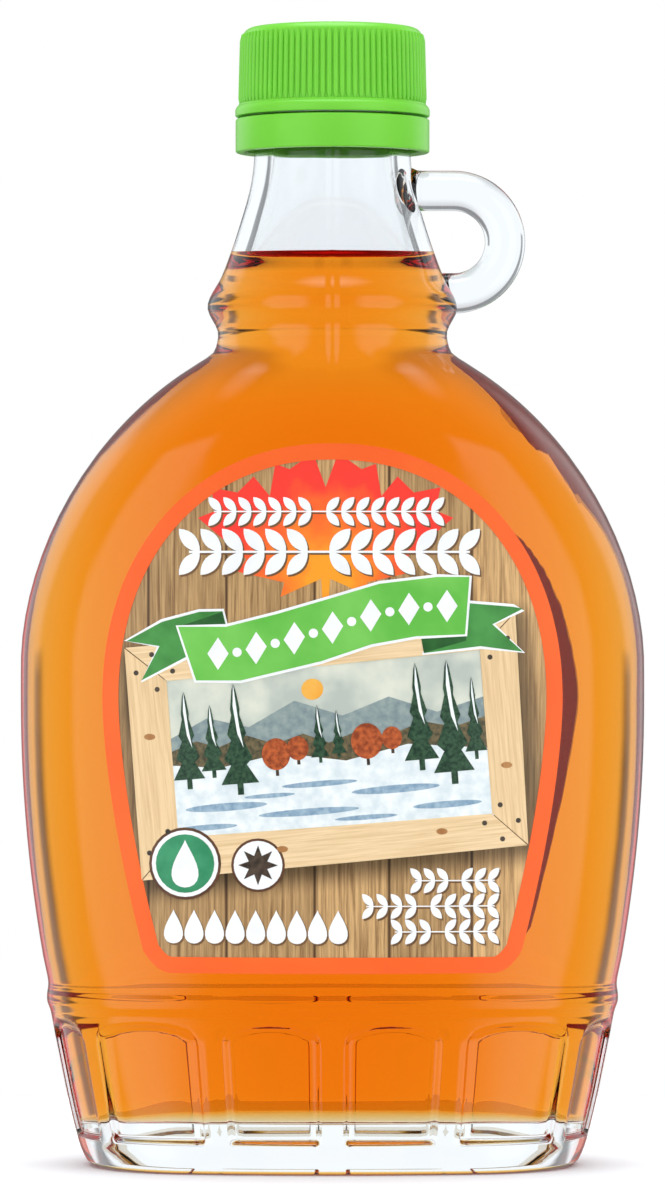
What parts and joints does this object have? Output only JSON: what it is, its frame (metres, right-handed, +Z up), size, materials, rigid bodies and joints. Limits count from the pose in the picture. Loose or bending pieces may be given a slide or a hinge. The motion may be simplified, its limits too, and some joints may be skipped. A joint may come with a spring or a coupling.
{
  "type": "flask bottle of maple syrup",
  "caption": "Oval clear glass flask of amber maple syrup with a loop ear on its neck, an arch-fluted base, a ribbed green screw cap and two domed paper labels.",
  "frame": {"origin": "on the ground under the middle of the foot", "axes": "+Z up along the neck, +X towards the loop ear, -Y out of the front label"},
  "size_m": [0.1022, 0.0492, 0.1862],
  "materials": {
    "clear_glass": "fire-polished flint glass, faintly uneven from the mould",
    "amber_syrup": "clear amber liquid",
    "green_plastic": "moulded polypropylene with a soft sheen",
    "printed_paper": "coated label paper, orange border round a printed panel",
    "back_paper": "coated label paper, white on the glued side"
  },
  "bodies": {
    "root": {"bottle": "clear_glass", "syrup": "amber_syrup", "cap": "green_plastic", "tamper_ring": "green_plastic", "front_label": "printed_paper", "back_label": "back_paper"}
  },
  "joints": []
}
